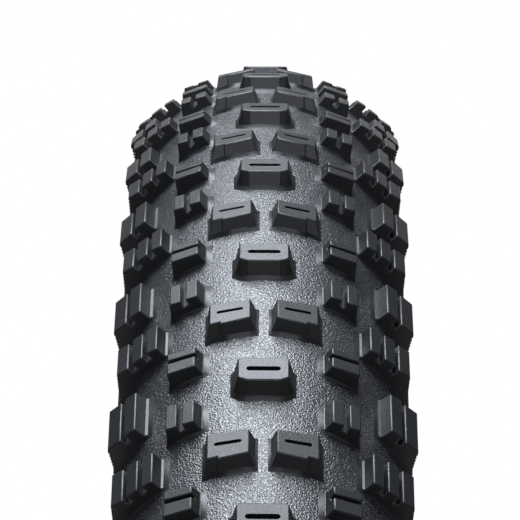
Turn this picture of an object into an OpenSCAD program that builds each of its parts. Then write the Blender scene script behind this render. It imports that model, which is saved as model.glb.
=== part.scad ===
// Knobbed bicycle tyre for a 622 mm rim, inflated shape.
// Axle along Y, +Z up, origin at the wheel centre. Left is +Y.

/* [Show] */
// Which sub-part to draw

/* [Rim fit] */
// Radius of the rim's bead seat
bead_seat_r = 311; // [279:0.5:311]
// Width between the rim flanges
rim_inner_w = 30; // [25:1:35]

/* [Casing] */
// Radius of the inflated section at the inside of the inner ply
ply_in_r = 28; // [24:0.1:32]
// Thickness of the airtight inner liner
liner_t = 0.3; // [0.2:0.1:1]
// Thickness of one casing ply
ply_t = 0.4; // [0.3:0.1:0.9]
// Thickness of the sidewall rubber and of the puncture belt
skin_t = 0.5; // [0.4:0.1:1.2]
// Radius of the bead core bundle
core_r = 1.6; // [1.2:0.1:2.2]
// Thickness of the chafer under and beside the bead
chafer_t = 0.6; // [0.4:0.1:1]
// Width of the flat foot of the chafer
foot_w = 4; // [3:0.5:6]

/* [Tread] */
// Thickness of the tread base over the belt
base_t = 2.4; // [1.5:0.1:3.5]
// Angle from the crown to the edge of the tread base
tread_edge = 66; // [62:0.5:72]
// Height of the centre knobs
knob_h = 3.3; // [2.5:0.1:4.5]
// Number of pattern repeats around the tyre
pitches = 54; // [46:1:56]
// Depth of the sipes and slots
sipe_d = 1.6; // [1:0.1:2]
// Width of the slots between knob blocks
slot_w = 1.1; // [0.6:0.1:1.4]

/* [Centre knobs] */
// Half width of the single knob's top
single_w = 5; // [4:0.1:6]
// Length of the single knob's top
single_l = 7.3; // [6:0.1:9]
// Length of the paired knob's top
pair_l = 6.5; // [5:0.1:8]
// Forward lean of the centre knobs' front walls at the foot
ramp = 2; // [0.5:0.1:3]

/* [Hidden] */
$fn = 256;

// section radii, from the cavity outwards
liner_r = ply_in_r - liner_t;
ply_mid_r = ply_in_r + ply_t;
ply_out_r = ply_mid_r + ply_t;
case_r = ply_out_r + skin_t;
base_r = case_r + base_t;
// bead core centre, its wrap and the section centre
wrap_r = core_r + ply_t;
heel_w = rim_inner_w / 2;
core_w = heel_w - chafer_t - wrap_r;
core_at = bead_seat_r + chafer_t + wrap_r;
reach = ply_in_r + wrap_r;
rc = core_at + sqrt(pow(reach, 2) - pow(core_w, 2));
outer_r = rc + base_r + knob_h;
// angles measured from the crown of the section
core_a = 180 - asin(core_w / reach);
heel_a = 180 - asin(heel_w / case_r);
ply_end_a = heel_a - 2;
chafer_a = heel_a - 11;
// bevel at the heel, and where the filler's two thin ends are cut off
heel_c = 0.7;
filler_trim = 25;
belt_a = tread_edge - 8;
pitch_a = 360 / pitches;
// tyre colours
rubber = "#2c2d30";
knob_c = "#3a3b3f";
cord_c = "#8a7f66";

// ---------------------------------------------------------------- section

// point of the section: angle from the crown, radius about the section centre
function sec(a, r) = [rc + r * cos(a), r * sin(a)];
// point above the tread base
function up(a, h) = sec(a, base_r + h);

// points round an arc of the section whose chords stay outside the radius
function outside(r, a0, a1, n) = [for (i = [0 : n]) sec(a0 + i * (a1 - a0) / n,
    r / cos((a1 - a0) / n / 2))];
// the same round the bead core
function round_core(r, a0, a1, n) = [for (i = [0 : n]) [core_at, core_w]
    + r / cos((a1 - a0) / n / 2) * [cos(a0 + i * (a1 - a0) / n), sin(a0 + i * (a1 - a0) / n)]];

// disc about the section centre
module disc(r) {
    translate([rc, 0]) circle(r = r);
}

// wedge of the section between two angles
module wedge(a0, a1) {
    step = (a1 - a0) / 6;
    polygon(concat([[rc, 0]], [for (i = [0 : 6]) sec(a0 + i * step, 60)]));
}

// layer of the section between two radii and two angles
module layer(r0, r1, a0, a1) {
    intersection() {
        difference() {
            disc(r1);
            disc(r0);
        }
        wedge(a0, a1);
    }
}

// full ring of a section, placed with its axle along Y
module ring() {
    rotate([-90, 0, 0]) rotate_extrude() children();
}

// children on the left as drawn, or mirrored to the right
module on_side(s) {
    if (s > 0) {
        children();
    } else {
        mirror([0, 1]) children();
    }
}

// part of the wrap that is left open above the core for the filler
module wrap_opening() {
    o = [rc - core_at, -core_w] / reach;
    polygon([[core_at, core_w], [core_at, core_w + 6], [core_at + 8, core_w + 6],
        [core_at + 8 * o[0], core_w + 8 * o[1]]]);
}

// turned-up end of the inner ply beside the core
module turn_up() {
    difference() {
        translate([core_at, core_w + core_r]) square([6, ply_t]);
        disc(ply_out_r);
    }
}

// inner ply passing round one bead core
module ply_wrap() {
    difference() {
        translate([core_at, core_w]) circle(r = wrap_r);
        translate([core_at, core_w]) circle(r = core_r);
        wrap_opening();
    }
    turn_up();
}

// ---------------------------------------------------------------- carcass

module inner_liner() {
    color("#1f1f21") ring() layer(liner_r, ply_in_r, -core_a, core_a);
}

module casing_ply_inner() {
    color(cord_c) ring() {
        layer(ply_in_r, ply_mid_r, -core_a, core_a);
        on_side(1) ply_wrap();
        on_side(-1) ply_wrap();
    }
}

module casing_ply_outer() {
    color(cord_c) ring() layer(ply_mid_r, ply_out_r, -ply_end_a, ply_end_a);
}

module puncture_belt() {
    color("#b3a884") ring() layer(ply_out_r, case_r, -belt_a, belt_a);
}

module sidewall(s) {
    color(rubber) ring() on_side(s) layer(ply_out_r, case_r, belt_a, chafer_a);
}

module bead_core(s) {
    color("#c9b458") ring() on_side(s) translate([core_at, core_w]) circle(r = core_r);
}

// fills the room between the core, the inner ply and its turned-up end
module bead_filler(s) {
    inner = core_w + core_r;
    meet_a = 180 - asin(inner / ply_out_r);
    color("#232325") ring() on_side(s) polygon(concat(
        round_core(core_r, 90 - filler_trim, filler_trim - (180 - core_a), 4),
        outside(ply_mid_r, core_a - filler_trim * core_r / ply_mid_r, ply_end_a, 3),
        [sec(ply_end_a, ply_out_r), sec((ply_end_a + meet_a) / 2, ply_out_r),
        sec(meet_a, ply_out_r), [core_at + core_r * sin(filler_trim), inner]]));
}

// rubber strip round the bead, from the sidewall over the heel and the seat to the toe
module chafer(s) {
    lip = wrap_r + chafer_t;
    toe = heel_w - heel_c - foot_w;
    meet_a = 180 - asin((core_w + wrap_r) / ply_out_r);
    color("#252527") ring() on_side(s) polygon(concat(
        [[bead_seat_r, toe], [bead_seat_r, heel_w - heel_c], [bead_seat_r + heel_c, heel_w]],
        outside(case_r, heel_a, chafer_a, 4),
        outside(ply_out_r, chafer_a, meet_a, 4),
        round_core(wrap_r, 90, 180 + core_a, 16),
        [sec(core_a, ply_in_r - chafer_t), [core_at + 0.55 * lip, core_w - 0.88 * lip],
        [core_at, core_w - 1.05 * lip], [bead_seat_r + 0.9, core_w - 1.05 * lip]]));
}

// ---------------------------------------------------------------- tread

module tread_base() {
    color(rubber) ring() intersection() {
        difference() {
            disc(base_r);
            disc(case_r);
        }
        polygon([[rc, 0], sec(-tread_edge - 5, case_r), sec(-tread_edge, base_r),
            sec(-tread_edge, 60), sec(-tread_edge / 2, 60), sec(0, 60),
            sec(tread_edge / 2, 60), sec(tread_edge, 60), sec(tread_edge, base_r),
            sec(tread_edge + 5, case_r)]);
    }
}

// every copy of a knob; arc is its place along the tread at the crown
module around(arc, s) {
    a0 = arc / outer_r * 180 / PI;
    rotate([-90, 0, 0]) for (i = [0 : pitches - 1]) {
        rotate([0, 0, a0 + i * pitch_a]) mirror([0, 0, s > 0 ? 0 : 1]) children();
    }
}

// place on the section: x along the tread's normal, y forwards, z outwards
module on_tread(a, h) {
    translate([rc, 0, 0]) rotate([0, -a, 0]) translate([base_r + h, 0, 0]) children();
}

// solid standing on the tread base: its section, and its front and back walls
module block(pts, back, front, back_lean, front_lean) {
    top = outer_r + 1;
    low = rc + 8;
    difference() {
        intersection() {
            translate([0, 20, 0]) rotate([90, 0, 0]) linear_extrude(height = 40) polygon(pts);
            translate([0, 0, -40]) linear_extrude(height = 80) polygon([
                [top, back + back_lean * (top - outer_r)],
                [top, front - front_lean * (top - outer_r)],
                [low, front + front_lean * (outer_r - low)],
                [low, back - back_lean * (outer_r - low)]]);
        }
        rotate([0, 0, -2.15]) rotate_extrude(angle = 4.3) disc(base_r);
    }
}

// closed sipe with round ends, lying across the tread
module sipe(a, h, len, wid) {
    on_tread(a, h) {
        cube([2 * sipe_d, wid, len - wid], center = true);
        for (e = [-1, 1]) {
            translate([0, 0, e * (len - wid) / 2]) rotate([0, 90, 0])
                cylinder(d = wid, h = 2 * sipe_d, center = true, $fn = 24);
        }
    }
}

// open slot running round the tyre between two blocks
module slot(a, h) {
    on_tread(a, h) cube([2 * sipe_d, 30, slot_w], center = true);
}

// cut across one top corner of the single knob
module corner_cut(y, sy, sz, cut, lean) {
    translate([outer_r, y, 0]) mirror([0, sy > 0 ? 0 : 1, 0]) mirror([0, 0, sz > 0 ? 0 : 1])
        translate([0, -cut, single_w]) rotate([45, 0, 0]) rotate([0, 0, -lean])
        translate([-8, 0, -6]) cube([12, 6, 12]);
}

module center_knobs() {
    f = single_l / 2;
    color(knob_c) around(0, 1) difference() {
        block([[outer_r, -single_w], [outer_r, single_w], up(single_w * 2.18, 0),
            up(single_w * 2.18, -1.5), up(-single_w * 2.18, -1.5), up(-single_w * 2.18, 0)],
            -f, f, 0.18, ramp / knob_h);
        sipe(0, knob_h, 6.7, 1.4);
        for (z = [-1, 1]) {
            corner_cut(f, 1, z, 1, 22);
            corner_cut(-f, -1, z, 0.6, 10);
        }
    }
}

module paired_knobs(s) {
    f = pair_l / 2;
    lean = ramp / knob_h;
    color(knob_c) around(outer_r * pitch_a * PI / 360, s) difference() {
        block([up(4.4, knob_h - 0.05), up(18, knob_h - 0.2), up(20.7, 0), up(20.7, -1.5),
            up(2.5, -1.5), up(2.5, 0), up(2.8, 0.6)],
            -f + 0.3, f + 0.3, 0.18, lean * 0.9);
        sipe(11.2, knob_h - 0.1, 5.4, 1);
        // outer quarter of the front wall stands back
        translate([0, 0, base_r * sin(15.9)]) linear_extrude(height = 10) polygon([
            [outer_r + 2, f - 0.5 - lean * 2], [outer_r - 12, f - 0.5 + lean * 12],
            [outer_r - 12, f + 20], [outer_r + 2, f + 20]]);
    }
}

// transition knob split by a sipe lying right across it
module siped_knobs(s) {
    color(knob_c) around(-8.7, s) difference() {
        block([up(23, knob_h - 0.5), up(32.4, knob_h + 0.2), up(35, 0), up(35, -1.5),
            up(19.9, -1.5), up(19.9, 0), up(21.6, 0.6)], -2.85, 2.85, 0.1, 0.12);
        on_tread(27.7, knob_h - 0.15) translate([0, -0.6, 0])
            cube([2 * sipe_d, 1.05, 20], center = true);
    }
}

// transition knob split by a slot running round the tyre
module slotted_knobs(s) {
    color(knob_c) around(9.3, s) difference() {
        block([up(22.9, knob_h - 0.45), up(32.3, knob_h + 0.25), up(35.2, 0), up(35.2, -1.5),
            up(19.9, -1.5), up(19.9, 0), up(21.6, 0.6)], -3.1, 3.1, 0.1, 0.12);
        slot(27.75, knob_h - 0.1);
    }
}

// shoulder knob of three blocks stepping down and outwards
module shoulder_triples(s) {
    color(knob_c) around(-22.2, s) difference() {
        block([up(37.6, knob_h - 0.25), up(42.4, knob_h + 0.2), up(42.4, knob_h + 0.05),
            up(48.5, knob_h + 0.55), up(48.5, knob_h + 0.25), up(53.5, knob_h + 1.15),
            up(63.6, 0), up(63.6, -1.5), up(50, -3), up(35, -1.5), up(35, 0), up(36.9, 0.7)],
            -3.8, 3.8, 0.06, 0.08);
        slot(42.4, knob_h + 0.1);
        slot(48.5, knob_h + 0.4);
    }
}

// shoulder knob of a ridged block and a lower outer block
module shoulder_doubles(s) {
    color(knob_c) around(-0.5, s) difference() {
        block([up(45.7, knob_h - 0.1), up(51.1, knob_h + 0.45), up(51.1, knob_h + 0.2),
            up(57.2, knob_h + 1), up(64.9, 0), up(64.9, -1.5), up(54, -3), up(43.2, -1.5),
            up(43.2, 0), up(45.1, 0.7)], -5.3, 5.3, 0.06, 0.08);
        slot(51.1, knob_h + 0.3);
    }
}

// ---------------------------------------------------------------- drawing

inner_liner();
casing_ply_inner();
casing_ply_outer();
puncture_belt();
tread_base();
sidewall(1);  // sidewall_left
sidewall(-1);  // sidewall_right
bead_core(1);  // bead_core_left
bead_core(-1);  // bead_core_right
bead_filler(1);  // bead_filler_left
bead_filler(-1);  // bead_filler_right
chafer(1);  // chafer_left
chafer(-1);  // chafer_right
center_knobs();
paired_knobs(1);  // paired_knobs_left
paired_knobs(-1);  // paired_knobs_right
siped_knobs(1);  // siped_knobs_left
siped_knobs(-1);  // siped_knobs_right
slotted_knobs(1);  // slotted_knobs_left
slotted_knobs(-1);  // slotted_knobs_right
shoulder_triples(1);  // shoulder_triples_left
shoulder_triples(-1);  // shoulder_triples_right
shoulder_doubles(1);  // shoulder_doubles_left
shoulder_doubles(-1);  // shoulder_doubles_right
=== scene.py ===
"""Knobbed bicycle tire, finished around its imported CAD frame.

Axle along Y, +Z up, origin at the wheel's centre, everything in metres.
The photograph looks at the tread from the front, along -X and slightly down.
"""

import math

import bmesh
import bpy
from bpy.props import FloatProperty, FloatVectorProperty, IntProperty, PointerProperty
from mathutils import Matrix, Vector


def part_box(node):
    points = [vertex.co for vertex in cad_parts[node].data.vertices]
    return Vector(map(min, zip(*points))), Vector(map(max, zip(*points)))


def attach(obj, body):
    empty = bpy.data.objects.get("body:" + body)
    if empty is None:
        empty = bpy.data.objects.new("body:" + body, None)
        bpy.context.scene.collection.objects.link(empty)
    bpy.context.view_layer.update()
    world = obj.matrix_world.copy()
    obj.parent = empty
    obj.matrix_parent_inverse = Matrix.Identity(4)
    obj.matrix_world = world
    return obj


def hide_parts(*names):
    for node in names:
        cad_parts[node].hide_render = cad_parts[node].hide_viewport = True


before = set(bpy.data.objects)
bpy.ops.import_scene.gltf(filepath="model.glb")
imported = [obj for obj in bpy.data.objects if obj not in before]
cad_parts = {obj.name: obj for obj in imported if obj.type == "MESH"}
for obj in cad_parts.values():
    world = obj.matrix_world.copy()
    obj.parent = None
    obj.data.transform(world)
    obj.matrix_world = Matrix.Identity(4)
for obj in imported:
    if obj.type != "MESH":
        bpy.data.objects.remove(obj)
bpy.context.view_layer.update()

bl_info = {
    "name": "Bicycle Tire",
    "version": (1, 0, 0),
    "blender": (4, 5, 0),
    "location": "View3D > Sidebar > Tire",
    "description": "Builds the looks of a knobbed bicycle tire around its CAD frame",
    "category": "Object",
}

MM = 0.001
AXLE = Vector((0, 1, 0))
OUTER_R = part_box("center_knobs")[1].x
HANDS = {"left": 1, "right": -1}
KNOB_NODES = {
    "center": ("center_knobs",),
    "paired": ("paired_knobs_left", "paired_knobs_right"),
    "siped": ("siped_knobs_left", "siped_knobs_right"),
    "slotted": ("slotted_knobs_left", "slotted_knobs_right"),
    "triples": ("shoulder_triples_left", "shoulder_triples_right"),
    "doubles": ("shoulder_doubles_left", "shoulder_doubles_right"),
}
PHOTO_SIDE = 520
FLOOR_GAP = 0.5 * MM
# a full turn of a ring is one sector of steps and its copies
RING_PARTS, PART_STEPS = 18, 24
RING_SMOOTH = math.radians(35)
MERGE = 0.002 * MM

# rings of the fillet at a knob's foot: how far they lie out of the foot, and how high over the base
OUTER_APRON = ((0.55 * MM, -0.05 * MM), (0.15 * MM, 0.2 * MM), (-0.4 * MM, 0.75 * MM))
# the same on the side to the crown, where the knob's own wall flares
FLARED_APRON = ((0.45 * MM, -0.05 * MM), (-0.1 * MM, 0.12 * MM), (-1.3 * MM, 0.75 * MM))
FLARE_ROUND, FLARE_STEPS = 0.4 * MM, 3
EDGE_STEPS = 2
MOULDED_EDGE = math.radians(22)
SLIT_EDGE, SLIT_END = math.radians(50), 0.45 * MM
FLAT_ANGLE = math.radians(0.8)
# rows of ribs, in half pitches: how far under the wall's top they start, and how many are spared
RIB_START, RIBS_SPARED = 1.6, 2


# ------------------------------------------------------------------ settings

class TireSizes(bpy.types.PropertyGroup):
    """Sizes of the finished tire that the CAD frame doesn't settle"""
    tread_radius: FloatProperty(
        name="Tread radius", description="Radius of the section at the face of the tread base",
        default=31.7 * MM, min=0.02, max=0.05, unit="LENGTH")
    knob_height: FloatProperty(
        name="Knob height", description="Height of the centre knobs over the tread base",
        default=3.3 * MM, min=0.001, max=0.006, unit="LENGTH")
    skin: FloatProperty(
        name="Sidewall skin", description="Thickness of the sidewall rubber",
        default=0.5 * MM, min=0.0003, max=0.002, unit="LENGTH")
    base_thickness: FloatProperty(
        name="Base thickness", description="Thickness of the tread base",
        default=2.4 * MM, min=0.001, max=0.005, unit="LENGTH")
    tread_edge: FloatProperty(
        name="Tread edge", description="Angle from the crown to the edge of the tread base",
        default=math.radians(66), min=0.9, max=1.3, unit="ROTATION")
    belt_angle: FloatProperty(
        name="Belt edge", description="Angle from the crown to the sidewall's upper edge",
        default=math.radians(58), min=0.7, max=1.2, unit="ROTATION")
    chafer_angle: FloatProperty(
        name="Chafer edge", description="Angle from the crown to the chafer's upper edge",
        default=2.412, min=2.0, max=2.8, unit="ROTATION")
    core_angle: FloatProperty(
        name="Liner edge", description="Angle from the crown to the liner's edge over the core",
        default=2.715, min=2.0, max=3.0, unit="ROTATION")
    plies: FloatProperty(
        name="Plies", description="Thickness of both casing plies",
        default=0.8 * MM, min=0.0003, max=0.002, unit="LENGTH")
    liner: FloatProperty(
        name="Liner", description="Thickness of the airtight liner",
        default=0.3 * MM, min=0.0001, max=0.001, unit="LENGTH")
    seat_radius: FloatProperty(
        name="Bead seat", description="Radius of the seat on the rim",
        default=311 * MM, min=0.1, max=0.4, unit="LENGTH")
    rim_width: FloatProperty(
        name="Rim width", description="Width between the rim's flanges",
        default=30 * MM, min=0.015, max=0.05, unit="LENGTH")
    core_radius: FloatProperty(
        name="Bead core", description="Radius of the bead's fibre bundle",
        default=1.6 * MM, min=0.0005, max=0.004, unit="LENGTH")
    wrap: FloatProperty(
        name="Ply wrap", description="Thickness of the ply round the core",
        default=0.4 * MM, min=0.0002, max=0.001, unit="LENGTH")
    chafer: FloatProperty(
        name="Chafer", description="Thickness of the chafer",
        default=0.6 * MM, min=0.0002, max=0.002, unit="LENGTH")
    seat_width: FloatProperty(
        name="Seat width", description="Width of the chafer's flat on the rim seat",
        default=4 * MM, min=0.001, max=0.008, unit="LENGTH")
    heel_cut: FloatProperty(
        name="Heel bevel", description="Bevel between the seat and the flange face",
        default=0.7 * MM, min=0.0001, max=0.002, unit="LENGTH")
    repeats: IntProperty(
        name="Repeats", description="Pattern repeats around the tire", default=54, min=20, max=80)
    edge_round: FloatProperty(
        name="Knob edge", description="Rounding of the moulded edges of a knob",
        default=0.24 * MM, min=0.00005, max=0.0006, unit="LENGTH")
    corner_cut: FloatProperty(
        name="Corner cut", description="Bevel of the centre knobs' upright front edges",
        default=0.8 * MM, min=0.0001, max=0.002, unit="LENGTH")
    rib_pitch: FloatProperty(
        name="Rib pitch", description="Spacing of the ribs on the shoulder knobs' outer walls",
        default=0.7 * MM, min=0.0003, max=0.002, unit="LENGTH")
    rib_depth: FloatProperty(
        name="Rib depth", description="Depth of the grooves between those ribs",
        default=0.38 * MM, min=0.00005, max=0.0006, unit="LENGTH")


class TireColours(bpy.types.PropertyGroup):
    """Colours of the rubber, cord and stage"""
    knob: FloatVectorProperty(
        name="Knob rubber", description="Moulded satin rubber of the knobs", subtype="COLOR",
        default=(0.011, 0.0115, 0.013), min=0, max=1)
    base: FloatVectorProperty(
        name="Base rubber", description="Grained rubber between the knobs", subtype="COLOR",
        default=(0.017, 0.018, 0.021), min=0, max=1)
    sidewall: FloatVectorProperty(
        name="Sidewall rubber", description="Thin rubber over the casing", subtype="COLOR",
        default=(0.030, 0.030, 0.033), min=0, max=1)
    chafer: FloatVectorProperty(
        name="Chafer rubber", description="Hard rubber at the bead", subtype="COLOR",
        default=(0.022, 0.022, 0.024), min=0, max=1)
    liner: FloatVectorProperty(
        name="Liner rubber", description="Airtight rubber inside the casing", subtype="COLOR",
        default=(0.035, 0.035, 0.038), min=0, max=1)
    cord: FloatVectorProperty(
        name="Casing cord", description="Rubbered cord of the plies", subtype="COLOR",
        default=(0.20, 0.17, 0.12), min=0, max=1)
    belt: FloatVectorProperty(
        name="Belt cord", description="Woven belt under the tread", subtype="COLOR",
        default=(0.42, 0.37, 0.26), min=0, max=1)
    bead: FloatVectorProperty(
        name="Bead fibre", description="Fibre bundle in the bead", subtype="COLOR",
        default=(0.62, 0.50, 0.20), min=0, max=1)
    floor: FloatVectorProperty(
        name="Floor", description="Pale studio floor", subtype="COLOR",
        default=(0.80, 0.80, 0.80), min=0, max=1)


def sizes():
    return bpy.context.scene.tire_sizes


def colours():
    return bpy.context.scene.tire_colours


# ------------------------------------------------------------- shader helpers

def new_group(name, inputs, outputs):
    """Empty shader group with float, vector or colour sockets."""
    tree = bpy.data.node_groups.new(name, "ShaderNodeTree")
    kinds = {"f": "NodeSocketFloat", "v": "NodeSocketVector", "c": "NodeSocketColor"}
    for label, kind, default in inputs:
        socket = tree.interface.new_socket(label, in_out="INPUT", socket_type=kinds[kind])
        if default is not None:
            socket.default_value = default
    for label, kind in outputs:
        tree.interface.new_socket(label, in_out="OUTPUT", socket_type=kinds[kind])
    return tree, tree.nodes.new("NodeGroupInput"), tree.nodes.new("NodeGroupOutput")


def add(tree, kind, **settings):
    """New node; each setting goes to the input of that name, or else to the node itself."""
    node = tree.nodes.new(kind)
    for key, value in settings.items():
        if key in node.inputs:
            node.inputs[key].default_value = value
        else:
            setattr(node, key, value)
    return node


def math_node(tree, operation, *values):
    """Math node whose inputs are numbers or sockets."""
    node = add(tree, "ShaderNodeMath", operation=operation)
    for slot, value in enumerate(values):
        if isinstance(value, bpy.types.NodeSocket):
            tree.links.new(value, node.inputs[slot])
        else:
            node.inputs[slot].default_value = value
    return node.outputs[0]


def spread(tree, value, low, high, to_low=0.0, to_high=1.0):
    """Maps low..high to a new range, clamped and smoothed at the ends."""
    node = add(tree, "ShaderNodeMapRange", interpolation_type="SMOOTHSTEP")
    tree.links.new(value, node.inputs["Value"])
    for key, number in (("From Min", low), ("From Max", high), ("To Min", to_low),
                        ("To Max", to_high)):
        node.inputs[key].default_value = number
    return node.outputs[0]


def pebble_grain_group():
    """Spark-eroded grain of the tread base: rounded pebbles of two sizes. Its Shade is painted shade
    in the pits and a painted glint on the pebbles' tops.
    """
    tree, source, sink = new_group(
        "Pebble Grain", [("Position", "v", None), ("Size", "f", 0.4 * MM)],
        [("Height", "f"), ("Shade", "f")])
    scale = math_node(tree, "DIVIDE", 1.0, source.outputs["Size"])
    cells = add(tree, "ShaderNodeTexVoronoi", feature="SMOOTH_F1")
    cells.inputs["Smoothness"].default_value = 0.55
    cells.inputs["Randomness"].default_value = 1.0
    warp = add(tree, "ShaderNodeTexNoise", Detail=2.0, Roughness=0.6)
    for node in (cells, warp):
        tree.links.new(source.outputs["Position"], node.inputs["Vector"])
    tree.links.new(scale, cells.inputs["Scale"])
    tree.links.new(math_node(tree, "MULTIPLY", scale, 0.8), warp.inputs["Scale"])
    pebble = spread(tree, cells.outputs["Distance"], 0.15, 0.75, 1.0, 0.0)
    rough = spread(tree, warp.outputs["Fac"], 0.35, 0.65)
    height = math_node(tree, "ADD", math_node(tree, "MULTIPLY", pebble, 0.55),
                       math_node(tree, "MULTIPLY", rough, 0.45))
    tree.links.new(height, sink.inputs["Height"])
    # Shade follows the height: painted shade in the pits between the pebbles, painted glint on their
    # raised tops
    tree.links.new(spread(tree, height, 0.25, 0.8), sink.inputs["Shade"])
    return tree


def satin_mottle_group():
    """Slow cloudiness and fine tooth of moulded rubber."""
    tree, source, sink = new_group(
        "Satin Mottle", [("Position", "v", None), ("Cloud Size", "f", 12 * MM),
                         ("Tooth Size", "f", 0.25 * MM)],
        [("Cloud", "f"), ("Tooth", "f")])
    cloud = add(tree, "ShaderNodeTexNoise", Detail=4.0, Roughness=0.6)
    tooth = add(tree, "ShaderNodeTexNoise", Detail=2.0, Roughness=0.5)
    for node, size in ((cloud, "Cloud Size"), (tooth, "Tooth Size")):
        tree.links.new(source.outputs["Position"], node.inputs["Vector"])
        tree.links.new(math_node(tree, "DIVIDE", 1.0, source.outputs[size]), node.inputs["Scale"])
    tree.links.new(spread(tree, cloud.outputs["Fac"], 0.3, 0.7), sink.inputs["Cloud"])
    tree.links.new(tooth.outputs["Fac"], sink.inputs["Tooth"])
    return tree


def wheel_place_group():
    """Place round the wheel: turn, distance from the axle and offset across, in metres."""
    tree, source, sink = new_group(
        "Wheel Place", [("Position", "v", None)],
        [("Round", "f"), ("Radius", "f"), ("Across", "f"), ("Vector", "v")])
    parts = add(tree, "ShaderNodeSeparateXYZ")
    tree.links.new(source.outputs["Position"], parts.inputs[0])
    x, y, z = parts.outputs
    turn = math_node(tree, "ARCTAN2", z, x)
    radius = math_node(tree, "SQRT", math_node(tree, "ADD", math_node(tree, "MULTIPLY", x, x),
                                               math_node(tree, "MULTIPLY", z, z)))
    along = math_node(tree, "MULTIPLY", turn, OUTER_R)
    joined = add(tree, "ShaderNodeCombineXYZ")
    for slot, value in enumerate((along, y, radius)):
        tree.links.new(value, joined.inputs[slot])
    for label, value in (("Round", along), ("Radius", radius), ("Across", y),
                         ("Vector", joined.outputs[0])):
        tree.links.new(value, sink.inputs[label])
    return tree


def cord_weave_group():
    """Parallel cords laid at an angle, as height and shade."""
    tree, source, sink = new_group(
        "Cord Lay", [("Round", "f", 0.0), ("Across", "f", 0.0), ("Pitch", "f", 0.6 * MM),
                     ("Slope", "f", 1.0)],
        [("Height", "f"), ("Shade", "f")])
    lay = math_node(tree, "ADD", source.outputs["Round"],
                    math_node(tree, "MULTIPLY", source.outputs["Across"], source.outputs["Slope"]))
    turns = math_node(tree, "DIVIDE", lay, source.outputs["Pitch"])
    wave = math_node(tree, "SINE", math_node(tree, "MULTIPLY", turns, 2 * math.pi))
    height = math_node(tree, "MULTIPLY_ADD", wave, 0.5, 0.5)
    tree.links.new(height, sink.inputs["Height"])
    tree.links.new(spread(tree, height, 0.1, 0.7), sink.inputs["Shade"])
    return tree


def mould_lines_group():
    """Fine machining lines that run up the front and back walls of a knob."""
    tree, source, sink = new_group(
        "Mould Lines", [("Position", "v", None), ("Pitch", "f", 0.3 * MM)],
        [("Lines", "f"), ("Wall", "f")])
    parts = add(tree, "ShaderNodeSeparateXYZ")
    tree.links.new(source.outputs["Position"], parts.inputs[0])
    squeeze = add(tree, "ShaderNodeCombineXYZ")
    tree.links.new(parts.outputs[1], squeeze.inputs[1])
    lines = add(tree, "ShaderNodeTexNoise", Detail=2.0, Roughness=0.7)
    tree.links.new(squeeze.outputs[0], lines.inputs["Vector"])
    tree.links.new(math_node(tree, "DIVIDE", 1.0, source.outputs["Pitch"]), lines.inputs["Scale"])
    outward = add(tree, "ShaderNodeVectorMath", operation="CROSS_PRODUCT")
    tree.links.new(source.outputs["Position"], outward.inputs[0])
    outward.inputs[1].default_value = AXLE
    unit = add(tree, "ShaderNodeVectorMath", operation="NORMALIZE")
    tree.links.new(outward.outputs[0], unit.inputs[0])
    face = add(tree, "ShaderNodeNewGeometry")
    facing = add(tree, "ShaderNodeVectorMath", operation="DOT_PRODUCT")
    tree.links.new(unit.outputs[0], facing.inputs[0])
    tree.links.new(face.outputs["True Normal"], facing.inputs[1])
    wall = spread(tree, math_node(tree, "ABSOLUTE", facing.outputs["Value"]), 0.6, 0.8)
    tree.links.new(lines.outputs["Fac"], sink.inputs["Lines"])
    tree.links.new(wall, sink.inputs["Wall"])
    return tree


GROUPS = {
    "Pebble Grain": pebble_grain_group,
    "Satin Mottle": satin_mottle_group,
    "Wheel Place": wheel_place_group,
    "Cord Lay": cord_weave_group,
    "Mould Lines": mould_lines_group,
}


class Finish:
    """A material being built: Object coordinates, groups, one Principled shader."""

    def __init__(self, name, colour, specular=0.5):
        self.material = bpy.data.materials.new(name)
        self.material.use_nodes = True
        self.tree = self.material.node_tree
        self.shader = self.tree.nodes["Principled BSDF"]
        self.shader.inputs["Specular IOR Level"].default_value = specular
        self.colour = tuple(colour)
        self.place = add(self.tree, "ShaderNodeTexCoord").outputs["Object"]
        self.material.diffuse_color = (*self.colour, 1.0)

    def group(self, name, **values):
        tree = bpy.data.node_groups.get(name) or GROUPS[name]()
        node = add(self.tree, "ShaderNodeGroup", node_tree=tree)
        if "Position" in node.inputs:
            self.tree.links.new(self.place, node.inputs["Position"])
        for label, value in values.items():
            label = label.replace("_", " ")
            if isinstance(value, bpy.types.NodeSocket):
                self.tree.links.new(value, node.inputs[label])
            else:
                node.inputs[label].default_value = value
        return node.outputs

    def paint(self, amount, low, high):
        """Base colour goes from low to high times its own colour with the mask."""
        mix = add(self.tree, "ShaderNodeMix", data_type="RGBA")
        self.tree.links.new(amount, mix.inputs["Factor"])
        for label, scale in (("A", low), ("B", high)):
            socket = [s for s in mix.inputs if s.name == label and s.type == "RGBA"][0]
            socket.default_value = (*(min(1.0, c * scale) for c in self.colour), 1.0)
        out = [s for s in mix.outputs if s.type == "RGBA"][0]
        self.tree.links.new(out, self.shader.inputs["Base Color"])

    def gloss(self, amount, low, high):
        """Roughness goes from low to high with the mask."""
        value = spread(self.tree, amount, 0.0, 1.0, low, high)
        self.tree.links.new(value, self.shader.inputs["Roughness"])

    def bump(self, layers):
        """Bump nodes in a chain; each layer is a height, its depth and an optional mask."""
        normal = None
        for height, depth, mask in layers:
            node = add(self.tree, "ShaderNodeBump", Distance=depth)
            self.tree.links.new(height, node.inputs["Height"])
            if mask is not None:
                self.tree.links.new(mask, node.inputs["Strength"])
            if normal is not None:
                self.tree.links.new(normal, node.inputs["Normal"])
            normal = node.outputs[0]
        self.tree.links.new(normal, self.shader.inputs["Normal"])


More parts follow.
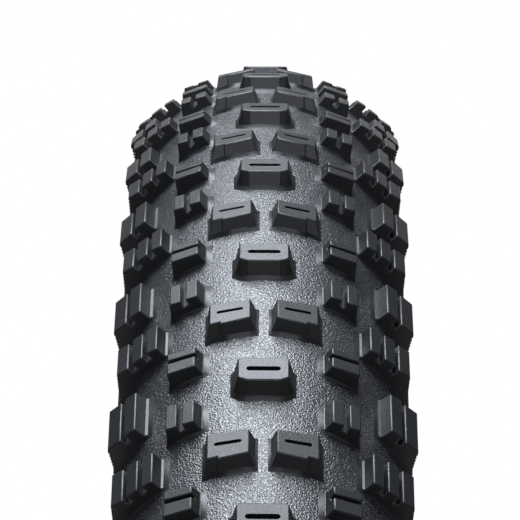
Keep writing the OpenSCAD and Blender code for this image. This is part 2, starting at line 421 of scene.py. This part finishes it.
def knob_rubber():
    finish = Finish("Knob Rubber", colours().knob, specular=0.46)
    mottle = finish.group("Satin Mottle", Cloud_Size=9 * MM, Tooth_Size=0.3 * MM)
    lines = finish.group("Mould Lines", Pitch=0.3 * MM)
    finish.paint(mottle["Cloud"], 0.9, 1.12)
    finish.gloss(mottle["Tooth"], 0.36, 0.49)
    finish.bump([(mottle["Tooth"], 0.04 * MM, None), (lines["Lines"], 0.05 * MM, lines["Wall"])])
    return finish.material


def base_rubber():
    finish = Finish("Grained Base Rubber", colours().base, specular=1.0)
    grain = finish.group("Pebble Grain", Size=0.4 * MM)
    # base colour follows the grain: painted shade in the pits and a painted glint on the pebbles'
    # tops
    finish.paint(grain["Shade"], 0.1, 3.0)
    finish.gloss(grain["Shade"], 0.44, 0.25)
    finish.bump([(grain["Height"], 0.1 * MM, None)])
    return finish.material


def crossed_cords(finish, across, pitch):
    """Heights of two layers of cord that cross each other."""
    place = finish.group("Wheel Place")
    return [finish.group("Cord Lay", Round=place["Round"], Across=place[across], Pitch=pitch,
                         Slope=slope)["Height"] for slope in (1.0, -1.0)]


def sidewall_rubber():
    finish = Finish("Sidewall Rubber", colours().sidewall)
    mottle = finish.group("Satin Mottle", Cloud_Size=20 * MM, Tooth_Size=0.3 * MM)
    first, second = crossed_cords(finish, "Radius", 0.9 * MM)
    finish.paint(mottle["Cloud"], 0.85, 1.15)
    finish.gloss(mottle["Cloud"], 0.44, 0.58)
    finish.bump([(mottle["Tooth"], 0.03 * MM, None), (first, 0.03 * MM, None),
                 (second, 0.03 * MM, None)])
    return finish.material


def chafer_rubber():
    finish = Finish("Chafer Rubber", colours().chafer)
    mottle = finish.group("Satin Mottle", Cloud_Size=15 * MM, Tooth_Size=0.4 * MM)
    first, second = crossed_cords(finish, "Across", 0.7 * MM)
    finish.paint(mottle["Cloud"], 0.85, 1.2)
    finish.gloss(mottle["Cloud"], 0.5, 0.65)
    finish.bump([(first, 0.04 * MM, None), (second, 0.04 * MM, None)])
    return finish.material


def liner_rubber():
    finish = Finish("Liner Rubber", colours().liner)
    place = finish.group("Wheel Place")
    mottle = finish.group("Satin Mottle", Cloud_Size=30 * MM, Tooth_Size=0.6 * MM)
    cords = finish.group("Cord Lay", Round=place["Round"], Across=place["Across"],
                         Pitch=1.1 * MM, Slope=1.0)
    finish.paint(mottle["Cloud"], 0.8, 1.2)
    finish.gloss(mottle["Cloud"], 0.34, 0.5)
    finish.bump([(cords["Height"], 0.03 * MM, None), (mottle["Tooth"], 0.04 * MM, None)])
    return finish.material


def cord_fabric(name, colour, pitch, slope):
    finish = Finish(name, colour, specular=0.3)
    place = finish.group("Wheel Place")
    mottle = finish.group("Satin Mottle", Cloud_Size=20 * MM, Tooth_Size=0.2 * MM)
    lay = finish.group("Cord Lay", Round=place["Round"], Across=place["Across"],
                       Pitch=pitch, Slope=slope)
    finish.paint(lay["Shade"], 0.45, 1.1)
    finish.gloss(mottle["Cloud"], 0.65, 0.85)
    finish.bump([(lay["Height"], 0.1 * MM, None), (mottle["Tooth"], 0.03 * MM, None)])
    return finish.material


# ------------------------------------------------------------- mesh helpers

def section_centre():
    """Centre of the tire's round section on the +X side."""
    s = sizes()
    return Vector((OUTER_R - s.knob_height - s.tread_radius, 0, 0))


def case_radius():
    """Radius of the section under the tread base, where the sidewalls' outer face runs on."""
    return sizes().tread_radius - sizes().base_thickness


def ply_radius():
    """Radius of the section at the outer face of the plies."""
    return case_radius() - sizes().skin


def section_point(angle, radius):
    """Point of the section at an angle from the crown."""
    return section_centre() + radius * Vector((math.cos(angle), math.sin(angle), 0))


def sweep_arc(bm, radius, start, end, steps, centre=None):
    """One vertex swept about the section's centre, or another; the vertices in order."""
    centre = centre or section_centre()
    first = bm.verts.new(centre + radius * Vector((math.cos(start), math.sin(start), 0)))
    made = bmesh.ops.spin(bm, geom=[first], cent=centre, axis=(0, 0, 1),
                          angle=end - start, steps=steps, use_merge=False)
    last = [g for g in made["geom_last"] if isinstance(g, bmesh.types.BMVert)][0]
    chain, came = [first], None
    while chain[-1] is not last:
        edge = [e for e in chain[-1].link_edges if e is not came][0]
        came = edge
        chain.append(edge.other_vert(chain[-1]))
    return chain


def join_loop(bm, *chains):
    """Closes arcs and single points into one outline."""
    points = [v for chain in chains for v in chain]
    for a, b in zip(points, points[1:] + points[:1]):
        if not any(e.other_vert(a) is b for e in a.link_edges):
            bm.edges.new((a, b))
    return list(bm.edges)


def spin_ring(bm, outline):
    """Turns a closed outline once round the axle: one sector, then its copies, merged."""
    verts = list({v for e in outline for v in e.verts})
    sector = 2 * math.pi / RING_PARTS
    bmesh.ops.spin(bm, geom=verts + outline, cent=(0, 0, 0), axis=AXLE, angle=sector,
                   steps=PART_STEPS, use_merge=False)
    bmesh.ops.spin(bm, geom=list(bm.verts) + list(bm.edges) + list(bm.faces), cent=(0, 0, 0),
                   axis=AXLE, angle=sector * (RING_PARTS - 1), steps=RING_PARTS - 1,
                   use_merge=False, use_duplicate=True)
    bmesh.ops.remove_doubles(bm, verts=bm.verts, dist=1.5 * MERGE)
    bmesh.ops.recalc_face_normals(bm, faces=bm.faces)


def finish_piece(bm, name, material, node, smooth_angle=None):
    """Turns a bmesh into a piece that stands for one CAD node."""
    mesh = bpy.data.meshes.new(name)
    bm.to_mesh(mesh)
    bm.free()
    if smooth_angle is not None:
        mesh.shade_smooth()
        mesh.set_sharp_from_angle(angle=smooth_angle)
    piece = bpy.data.objects.new(name, mesh)
    bpy.context.scene.collection.objects.link(piece)
    mesh.materials.append(material)
    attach(piece, "root")
    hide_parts(node)


def front_knob(node):
    """Copy of the node's knob that lies nearest the +X axis, as merged flat faces."""
    bm = bmesh.new()
    bm.from_mesh(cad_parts[node].data)
    bmesh.ops.remove_doubles(bm, verts=bm.verts, dist=MERGE)
    seen, best = set(), None
    for start in bm.verts:
        if start in seen:
            continue
        seen.add(start)
        island, stack = [], [start]
        while stack:
            vert = stack.pop()
            island.append(vert)
            for edge in vert.link_edges:
                other = edge.other_vert(vert)
                if other not in seen:
                    seen.add(other)
                    stack.append(other)
        middle = sum((v.co for v in island), Vector()) / len(island)
        away = math.atan2(abs(middle.z), middle.x)
        if best is None or away < best[0]:
            best = (away, set(island))
    bmesh.ops.delete(bm, geom=[v for v in bm.verts if v not in best[1]], context="VERTS")
    bmesh.ops.dissolve_limit(bm, angle_limit=FLAT_ANGLE, verts=bm.verts, edges=bm.edges)
    for face in bm.faces:
        face.smooth = False
    return bm


def height_over_base(point):
    """Distance of a point from the tread base's face."""
    flat = Vector((math.hypot(point.x, point.z), point.y, 0)) - section_centre()
    return flat.length - sizes().tread_radius


def local_up(point):
    """Direction away from the section's centre at a point of the tread."""
    turn = math.atan2(point.z, point.x)
    centre = section_centre().x * Vector((math.cos(turn), 0, math.sin(turn)))
    return (point - centre).normalized()


def foot_apron(bm, inner, outer):
    """Closed skirt that fillets a knob's foot; inner rings face the crown, outer ones the rest."""
    under = [f for f in bm.faces if local_up(f.calc_center_median()).dot(f.normal) < -0.6]
    if not under:
        raise RuntimeError("no underside was found on a knob")
    patch = bmesh.ops.duplicate(bm, geom=under)["geom"]
    foot = [g for g in patch if isinstance(g, bmesh.types.BMVert)]
    faces = [g for g in patch if isinstance(g, bmesh.types.BMFace)]
    middle = sum((v.co for v in foot), Vector()) / len(foot)
    up = local_up(middle)
    along = AXLE.cross(up).normalized()
    across = along.cross(up)
    if across.y * middle.y < 0:
        across.negate()
    spans = [[(v.co - middle).dot(axis) for v in foot] for axis in (across, along)]
    place = Matrix((up, across, along)).transposed().to_4x4()
    rings = [foot]
    for _ in outer[1:]:
        # the first extrusion leaves the patch as the skirt's floor, a later one leaves an inner wall
        made = bmesh.ops.extrude_face_region(bm, geom=faces)
        if len(rings) > 1:
            bmesh.ops.delete(bm, geom=faces, context="FACES")
            rings[-1] = [v for v in rings[-1] if v.is_valid]
        faces = [g for g in made["geom"] if isinstance(g, bmesh.types.BMFace)]
        rings.append([g for g in made["geom"] if isinstance(g, bmesh.types.BMVert)])
    for verts, (low, _), (high, rise) in zip(rings, inner, outer):
        # the ring grows about the foot's middle, then slides so that each side gets its own reach
        factors, shift = [1.0], Vector()
        for reach, axis, to_crown, away in ((spans[0], across, low, high),
                                            (spans[1], along, high, high)):
            width = max(reach) - min(reach)
            factors.append(1 + (to_crown + away) / width)
            shift += axis * ((max(reach) + min(reach)) / 2)
        slide = across * ((high - low) / 2)
        place.translation = middle + shift
        bmesh.ops.scale(bm, vec=factors, space=place.inverted(), verts=verts)
        bmesh.ops.translate(bm, vec=slide, verts=verts)
        for vert in verts:
            vert.co += (rise - height_over_base(vert.co)) * local_up(vert.co)
    skirt = {f for verts in rings for v in verts for f in v.link_faces}
    caps = set(faces) | {f for f in skirt if all(v in rings[0] for v in f.verts)}
    for face in skirt - caps:
        face.smooth = True


def flare_edges(bm):
    """Inward edges low on a wall, where it flares into its foot."""
    found = []
    for edge in bm.edges:
        if len(edge.link_faces) == 2 and not edge.is_convex and edge.calc_length() > 3 * MM:
            low, high = sorted(height_over_base(v.co) for v in edge.verts)
            if low > 0.3 * MM and high < 1.1 * MM and edge.calc_face_angle() > 0.2:
                found.append(edge)
    return found


def convex_edges(bm, least, low):
    """Outward edges sharper than least that rise over the base."""
    found = []
    for edge in bm.edges:
        if len(edge.link_faces) != 2 or not edge.is_convex:
            continue
        if edge.calc_face_angle() < least:
            continue
        if max(height_over_base(v.co) for v in edge.verts) > low:
            found.append(edge)
    return found


def moulded_edges(bm):
    """Sharp outward edges of a knob, without those at the ends of its slit."""
    ends = {v for e in convex_edges(bm, SLIT_EDGE, 0.2 * MM) if e.calc_length() < SLIT_END
            for v in e.verts}
    return [e for e in convex_edges(bm, MOULDED_EDGE, 0.25 * MM)
            if not any(v in ends for v in e.verts)]


def round_edges(bm, edges, width, segments):
    """Bevels edges; the new faces are smooth, except where they lie on in an old face's plane."""
    flats = [f.normal.copy() for f in bm.faces]
    made = bmesh.ops.bevel(bm, geom=edges, offset=width, offset_type="OFFSET", segments=segments,
                           affect="EDGES", profile=0.5, material=-1, clamp_overlap=False)
    bm.normal_update()
    for face in made["faces"]:
        face.smooth = not any(n.dot(face.normal) > 0.9998 for n in flats)


def repeat_round(bm):
    """Copies the knob to every pattern repeat."""
    turns = sizes().repeats
    bmesh.ops.spin(bm, geom=list(bm.verts) + list(bm.edges) + list(bm.faces), cent=(0, 0, 0),
                   axis=AXLE, angle=2 * math.pi * (turns - 1) / turns, steps=turns - 1,
                   use_merge=False, use_duplicate=True)


def cut_corners(bm, width):
    """Bevels the two upright edges beside a knob's front wall."""
    corners = []
    for edge in bm.edges:
        if len(edge.link_faces) != 2 or not edge.is_convex or edge.calc_length() < 2 * MM:
            continue
        low, high = sorted(edge.verts, key=lambda v: height_over_base(v.co))
        upright = (high.co - low.co).normalized().dot(local_up(low.co)) > 0.8
        if upright and min(f.normal.z for f in edge.link_faces) < -0.7:
            corners.append(edge)
    if len(corners) != 2:
        raise RuntimeError(f"{len(corners)} front corners were found on a centre knob")
    bmesh.ops.bevel(bm, geom=corners, offset=width, offset_type="OFFSET", segments=1,
                    affect="EDGES", profile=0.5, material=-1, clamp_overlap=True)
    bm.normal_update()


def outer_wall(bm):
    """Largest face of a shoulder knob that looks sideways, away from the tread."""
    side = 1 if sum(v.co.y for v in bm.verts) > 0 else -1
    walls = [f for f in bm.faces if f.normal.y * side > 0.9
             and height_over_base(f.calc_center_median()) > 0.5 * MM]
    if not walls:
        raise RuntimeError("no outer wall was found on a shoulder knob")
    return max(walls, key=lambda f: f.calc_area())


def wall_ends(bm):
    """Front and back edges of the outer wall, which the ribs run out through."""
    ends = set()
    for edge in outer_wall(bm).edges:
        run = edge.verts[0].co - edge.verts[1].co
        if abs(run.x) > abs(run.z):
            ends.add(edge)
    return ends


def rib_flank(bm):
    """Cuts a shoulder knob's outer wall in rows and pushes every other row in, as grooves."""
    s = sizes()
    wall = outer_wall(bm)
    normal = wall.normal.copy()
    down = normal.cross(Vector((0, 0, 1))).normalized()
    if down.x > 0:
        down.negate()
    reach = [v.co.dot(down) for v in wall.verts]
    top, foot = min(reach), max(reach)
    half = s.rib_pitch / 2
    cuts = int((foot - top) / half) - RIBS_SPARED
    corner = wall.verts[0].co
    faces = [wall]
    rows = []
    for i in range(cuts):
        level = top + (i + RIB_START) * half
        point = corner + down * (level - corner.dot(down))
        geom = list({v for f in faces for v in f.verts} | {e for f in faces for e in f.edges}
                    | set(faces))
        made = bmesh.ops.bisect_plane(bm, geom=geom, dist=1e-7, plane_co=point, plane_no=down)
        rows.append([g for g in made["geom_cut"] if isinstance(g, bmesh.types.BMVert)])
        faces = [f for f in bm.faces if abs(f.normal.dot(normal)) > 0.9999
                 and abs((f.calc_center_median() - corner).dot(normal)) < 1e-5]
    for i, row in enumerate(rows):
        if i % 2:
            for vert in row:
                vert.co -= normal * s.rib_depth


# ---------------------------------------------------------------- operators

class RingOperator:
    """Shared step of the operators that spin a smooth ring."""

    def ring(self, name, node, material, steps, arcs):
        """Closed ring between two arcs about the section's centre: radius, start and end."""
        bm = bmesh.new()
        chains = [sweep_arc(bm, radius, start, end, steps) for radius, start, end in arcs]
        spin_ring(bm, join_loop(bm, *chains))
        finish_piece(bm, name, material, node, RING_SMOOTH)


class TIRE_OT_tread_base(RingOperator, bpy.types.Operator):
    """Spin the grained base that the knobs stand on"""
    bl_idname = "tire.tread_base"
    bl_label = "Tread base"
    edge_slope = math.radians(5)

    def execute(self, context):
        s = sizes()
        foot = s.tread_edge + self.edge_slope
        self.ring("tread_face", "tread_base", base_rubber(), 72, [
            (s.tread_radius, -s.tread_edge, s.tread_edge), (case_radius(), foot, -foot)])
        return {"FINISHED"}


class TIRE_OT_inner_liner(RingOperator, bpy.types.Operator):
    """Spin the airtight liner inside the casing"""
    bl_idname = "tire.inner_liner"
    bl_label = "Inner liner"

    def execute(self, context):
        s = sizes()
        outer = ply_radius() - s.plies
        self.ring("liner_face", "inner_liner", liner_rubber(), 60, [
            (outer, -s.core_angle, s.core_angle), (outer - s.liner, s.core_angle, -s.core_angle)])
        return {"FINISHED"}


class TIRE_OT_sidewalls(RingOperator, bpy.types.Operator):
    """Spin the thin rubber over the casing's flanks"""
    bl_idname = "tire.sidewalls"
    bl_label = "Sidewalls"

    def execute(self, context):
        s = sizes()
        skin = sidewall_rubber()
        for hand, side in HANDS.items():
            top, low = side * s.belt_angle, side * s.chafer_angle
            self.ring("sidewall_face_" + hand, "sidewall_" + hand, skin, 48, [
                (case_radius(), top, low), (ply_radius(), low, top)])
        return {"FINISHED"}


class TIRE_OT_chafers(bpy.types.Operator):
    """Spin the hard strips round the beads"""
    bl_idname = "tire.chafers"
    bl_label = "Chafers"
    arc_steps, wrap_steps = 12, 24
    lip_reach, lip_drop = 1.05, (0.55, 0.88)
    toe_rise = 0.9 * MM
    corner_round, corner_steps = 0.25 * MM, 3

    def execute(self, context):
        hard = chafer_rubber()
        for hand, side in HANDS.items():
            bm = bmesh.new()
            self.outline(bm, side)
            spin_ring(bm, list(bm.edges))
            finish_piece(bm, "chafer_face_" + hand, hard, "chafer_" + hand,
                         RING_SMOOTH)
        return {"FINISHED"}

    def outline(self, bm, side):
        """Section of the strip: seat and heel, flank, wrap over the core, rounded lip to the air."""
        s = sizes()
        half, seat = s.rim_width / 2, s.seat_radius
        wrap = s.core_radius + s.wrap
        lip = wrap + s.chafer
        core = Vector((seat + s.chafer + wrap, side * (half - s.chafer - wrap), 0))
        heel = math.pi - math.asin(half / case_radius())
        meet = math.pi - math.asin((abs(core.y) + wrap) / ply_radius())
        toe_y = half - s.heel_cut - s.seat_width
        low = [bm.verts.new((seat, side * toe_y, 0)),
               bm.verts.new((seat, side * (half - s.heel_cut), 0)),
               bm.verts.new((seat + s.heel_cut, side * half, 0))]
        outer = sweep_arc(bm, case_radius(), side * heel, side * s.chafer_angle, self.arc_steps)
        inner = sweep_arc(bm, ply_radius(), side * s.chafer_angle, side * meet, self.arc_steps)
        over_core = sweep_arc(bm, wrap, side * math.pi / 2, side * (math.pi + s.core_angle),
                              self.wrap_steps, core)
        reach = self.lip_reach * lip
        up, out = self.lip_drop
        air = [bm.verts.new(section_point(side * s.core_angle, ply_radius() - s.plies - s.chafer)),
               bm.verts.new(core + Vector((up * lip, -side * out * lip, 0))),
               bm.verts.new(core + Vector((0, -side * reach, 0))),
               bm.verts.new((seat + self.toe_rise, core.y - side * reach, 0))]
        join_loop(bm, low, outer, inner, over_core, air)
        bmesh.ops.bevel(bm, geom=low + air[1:], offset=self.corner_round, offset_type="OFFSET",
                        segments=self.corner_steps, affect="VERTICES", profile=0.5, material=-1,
                        clamp_overlap=True)


class KnobOperator:
    """Shared steps of the operators that finish one family of knobs."""
    family = ""
    ribs = False
    cut_front = False
    apron = FLARED_APRON

    def execute(self, context):
        material = bpy.data.materials.get("Knob Rubber") or knob_rubber()
        for node in KNOB_NODES[self.family]:
            bm = front_knob(node)
            self.mould(bm)
            bmesh.ops.dissolve_degenerate(bm, dist=MERGE, edges=bm.edges)
            bmesh.ops.recalc_face_normals(bm, faces=bm.faces)
            repeat_round(bm)
            finish_piece(bm, node + "_moulded", material, node)
        return {"FINISHED"}

    def mould(self, bm):
        """Cut corners, foot fillet, rounded edges and ribs on one knob."""
        s = sizes()
        if self.cut_front:
            cut_corners(bm, s.corner_cut)
        edges = moulded_edges(bm)
        if self.ribs:
            ends = wall_ends(bm)
            edges = [e for e in edges if e not in ends]
        flares = flare_edges(bm)
        foot_apron(bm, self.apron, OUTER_APRON)
        round_edges(bm, edges, s.edge_round, EDGE_STEPS)
        flares = [e for e in flares if e.is_valid]
        if flares:
            round_edges(bm, flares, FLARE_ROUND, FLARE_STEPS)
        if self.ribs:
            rib_flank(bm)


class TIRE_OT_center_knobs(KnobOperator, bpy.types.Operator):
    """Finish the single knobs on the crown"""
    bl_idname = "tire.center_knobs"
    bl_label = "Centre knobs"
    family = "center"
    apron = OUTER_APRON
    cut_front = True


class TIRE_OT_paired_knobs(KnobOperator, bpy.types.Operator):
    """Finish the knobs in pairs beside the crown"""
    bl_idname = "tire.paired_knobs"
    bl_label = "Paired knobs"
    family = "paired"
    apron = OUTER_APRON


class TIRE_OT_siped_knobs(KnobOperator, bpy.types.Operator):
    """Finish the transition knobs with a sipe across them"""
    bl_idname = "tire.siped_knobs"
    bl_label = "Siped knobs"
    family = "siped"


class TIRE_OT_slotted_knobs(KnobOperator, bpy.types.Operator):
    """Finish the transition knobs with a slot along the tire"""
    bl_idname = "tire.slotted_knobs"
    bl_label = "Slotted knobs"
    family = "slotted"


class TIRE_OT_shoulder_triples(KnobOperator, bpy.types.Operator):
    """Finish the shoulder knobs of three blocks"""
    bl_idname = "tire.shoulder_triples"
    bl_label = "Shoulder triples"
    family = "triples"
    ribs = True


class TIRE_OT_shoulder_doubles(KnobOperator, bpy.types.Operator):
    """Finish the shoulder knobs of two blocks"""
    bl_idname = "tire.shoulder_doubles"
    bl_label = "Shoulder doubles"
    family = "doubles"
    ribs = True


class TIRE_OT_carcass(bpy.types.Operator):
    """Give the plies, belt and beads their finishes"""
    bl_idname = "tire.carcass"
    bl_label = "Carcass"

    def execute(self, context):
        c = colours()
        filler = bpy.data.materials["Chafer Rubber"]
        finishes = {
            "casing_ply_inner": cord_fabric("Inner Ply Cord", c.cord, 0.7 * MM, 1.0),
            "casing_ply_outer": cord_fabric("Outer Ply Cord", c.cord, 0.7 * MM, -1.0),
            "puncture_belt": cord_fabric("Belt Cord", c.belt, 0.9 * MM, 0.4),
            "bead_core_left": cord_fabric("Bead Fibre", c.bead, 0.5 * MM, 3.0),
            "bead_filler_left": filler,
        }
        for part in ("bead_core", "bead_filler"):
            finishes[part + "_right"] = finishes[part + "_left"]
        for node, material in finishes.items():
            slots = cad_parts[node].data.materials
            slots.clear()
            slots.append(material)
        return {"FINISHED"}


# -------------------------------------------------------------------- stage

# the photograph's camera: distance, rise over the axle, upward look at the tire, roll and shift
CAMERA_AWAY = 3.24808 * OUTER_R
CAMERA_RISE = math.radians(20.288)
CAMERA_LIFT = math.radians(15.702)
CAMERA_ROLL = 0.00585
CAMERA_SHIFT = -4.2 / PHOTO_SIDE
LENS = 344.2
# lamps: place, what they are aimed at, size across and along the tire, power and colour
KEY_LAMP = ((-0.145, -0.085, 1.28), (0.15, 0, 0.33), (0.46, 0.9), 18.5, (0.86, 0.92, 1.0))
FRONT_LAMP = ((1.45, 0, 1.35), (0.1, 0, 0.36), (1.2, 0.8), 8, (0.88, 0.93, 1.0))
# the world is white in mirrored rays up to an X of BEHIND, and at GLOSSY_LEVEL from BESIDE on
BEHIND, BESIDE = -0.985, -0.88
GLOSSY_LEVEL, DIFFUSE_LEVEL = 0.09, 0.3
# what the floor adds where a ray shows it, so that it stays pale away from the lamps
FLOOR_GLOW = 0.2
FLOOR_RADIUS, FLOOR_SIDES = 3.2, 96


def background_rays(tree, glossy_level):
    """1 for rays that show the background straight, glossy_level for mirrored ones."""
    ray = add(tree, "ShaderNodeLightPath")
    shown = math_node(tree, "MAXIMUM", ray.outputs["Is Camera Ray"],
                      ray.outputs["Is Transmission Ray"])
    return math_node(tree, "MAXIMUM", shown,
                     math_node(tree, "MULTIPLY", ray.outputs["Is Glossy Ray"], glossy_level))


class TIRE_OT_stage(bpy.types.Operator):
    """Lay the floor, light the studio and set the photograph's camera"""
    bl_idname = "tire.stage"
    bl_label = "Stage"

    def execute(self, context):
        self.floor()
        self.world()
        self.lamp(context, "key", *KEY_LAMP)
        self.lamp(context, "front", *FRONT_LAMP)
        self.camera(context)
        context.scene.view_settings.view_transform = "Standard"
        return {"FINISHED"}

    def floor(self):
        bm = bmesh.new()
        bmesh.ops.create_circle(bm, cap_ends=True, segments=FLOOR_SIDES, radius=FLOOR_RADIUS,
                                matrix=Matrix.Translation((0, 0, -OUTER_R - FLOOR_GAP)))
        mesh = bpy.data.meshes.new("floor")
        bm.to_mesh(mesh)
        bm.free()
        floor = bpy.data.objects.new("floor", mesh)
        bpy.context.scene.collection.objects.link(floor)
        finish = Finish("Studio Floor", colours().floor, specular=0.2)
        mottle = finish.group("Satin Mottle", Cloud_Size=500 * MM, Tooth_Size=2 * MM)
        finish.paint(mottle["Cloud"], 0.98, 1.0)
        finish.bump([(mottle["Tooth"], 0.1 * MM, None)])
        shown = background_rays(finish.tree, GLOSSY_LEVEL)
        finish.tree.links.new(math_node(finish.tree, "MULTIPLY", shown, FLOOR_GLOW),
                              finish.shader.inputs["Emission Strength"])
        finish.shader.inputs["Emission Color"].default_value = (1, 1, 1, 1)
        mesh.materials.append(finish.material)

    def world(self):
        world = bpy.data.worlds.new("Studio")
        bpy.context.scene.world = world
        world.use_nodes = True
        tree = world.node_tree
        heading = add(tree, "ShaderNodeSeparateXYZ")
        tree.links.new(add(tree, "ShaderNodeTexCoord").outputs["Generated"], heading.inputs[0])
        behind = spread(tree, heading.outputs[0], BEHIND, BESIDE, 1.0, GLOSSY_LEVEL)
        diffuse = add(tree, "ShaderNodeLightPath").outputs["Is Diffuse Ray"]
        strength = math_node(tree, "MAXIMUM", background_rays(tree, behind),
                             math_node(tree, "MULTIPLY", diffuse, DIFFUSE_LEVEL))
        tree.links.new(strength, tree.nodes["Background"].inputs["Strength"])
        tree.nodes["Background"].inputs["Color"].default_value = (1, 1, 1, 1)

    def lamp(self, context, name, place, target, size, power, colour):
        """Soft rectangle: the key over the crown gives the shine, the front one lifts the walls."""
        light = bpy.data.lights.new(name, "AREA")
        light.shape = "RECTANGLE"
        light.size, light.size_y = size
        light.energy, light.color = power, colour
        lamp = bpy.data.objects.new(name, light)
        lamp.location = place
        lamp.rotation_euler = (Vector(target) - lamp.location).to_track_quat("-Z", "Y").to_euler()
        lamp.visible_camera = False
        context.scene.collection.objects.link(lamp)

    def camera(self, context):
        data = bpy.data.cameras.new("photo_camera")
        data.lens, data.sensor_width = LENS, 36.0
        data.shift_x = CAMERA_SHIFT
        data.clip_start, data.clip_end = 0.05, 50
        camera = bpy.data.objects.new("photo_camera", data)
        camera.location = CAMERA_AWAY * Vector((math.cos(CAMERA_RISE), 0, math.sin(CAMERA_RISE)))
        tilt = CAMERA_LIFT - CAMERA_RISE
        look = Vector((-math.cos(tilt), 0, math.sin(tilt)))
        turn = look.to_track_quat("-Z", "Y").to_matrix()
        camera.rotation_euler = (turn @ Matrix.Rotation(CAMERA_ROLL, 3, "Z")).to_euler()
        context.scene.collection.objects.link(camera)
        context.scene.camera = camera


OPERATORS = (
    TIRE_OT_tread_base,
    TIRE_OT_inner_liner,
    TIRE_OT_sidewalls,
    TIRE_OT_chafers,
    TIRE_OT_center_knobs,
    TIRE_OT_paired_knobs,
    TIRE_OT_siped_knobs,
    TIRE_OT_slotted_knobs,
    TIRE_OT_shoulder_triples,
    TIRE_OT_shoulder_doubles,
    TIRE_OT_carcass,
    TIRE_OT_stage,
)


class TIRE_PT_panel(bpy.types.Panel):
    """Lists the steps and the settings of the tire"""
    bl_idname = "TIRE_PT_panel"
    bl_label = "Bicycle Tire"
    bl_space_type = "VIEW_3D"
    bl_region_type = "UI"
    bl_category = "Tire"

    def draw(self, context):
        for group in (context.scene.tire_sizes, context.scene.tire_colours):
            box = self.layout.box()
            for name in group.__annotations__:
                box.prop(group, name)
        for step in OPERATORS:
            self.layout.operator(step.bl_idname)


CLASSES = (TireSizes, TireColours) + OPERATORS + (TIRE_PT_panel,)


def register():
    for cls in CLASSES:
        bpy.utils.register_class(cls)
    bpy.types.Scene.tire_sizes = PointerProperty(type=TireSizes)
    bpy.types.Scene.tire_colours = PointerProperty(type=TireColours)


def unregister():
    del bpy.types.Scene.tire_colours
    del bpy.types.Scene.tire_sizes
    for cls in reversed(CLASSES):
        bpy.utils.unregister_class(cls)


def main():
    register()
    for step in OPERATORS:
        group, name = step.bl_idname.split(".")
        if getattr(getattr(bpy.ops, group), name)() != {"FINISHED"}:
            raise RuntimeError(f"{step.bl_label} didn't finish")


if __name__ == "__main__":
    main()
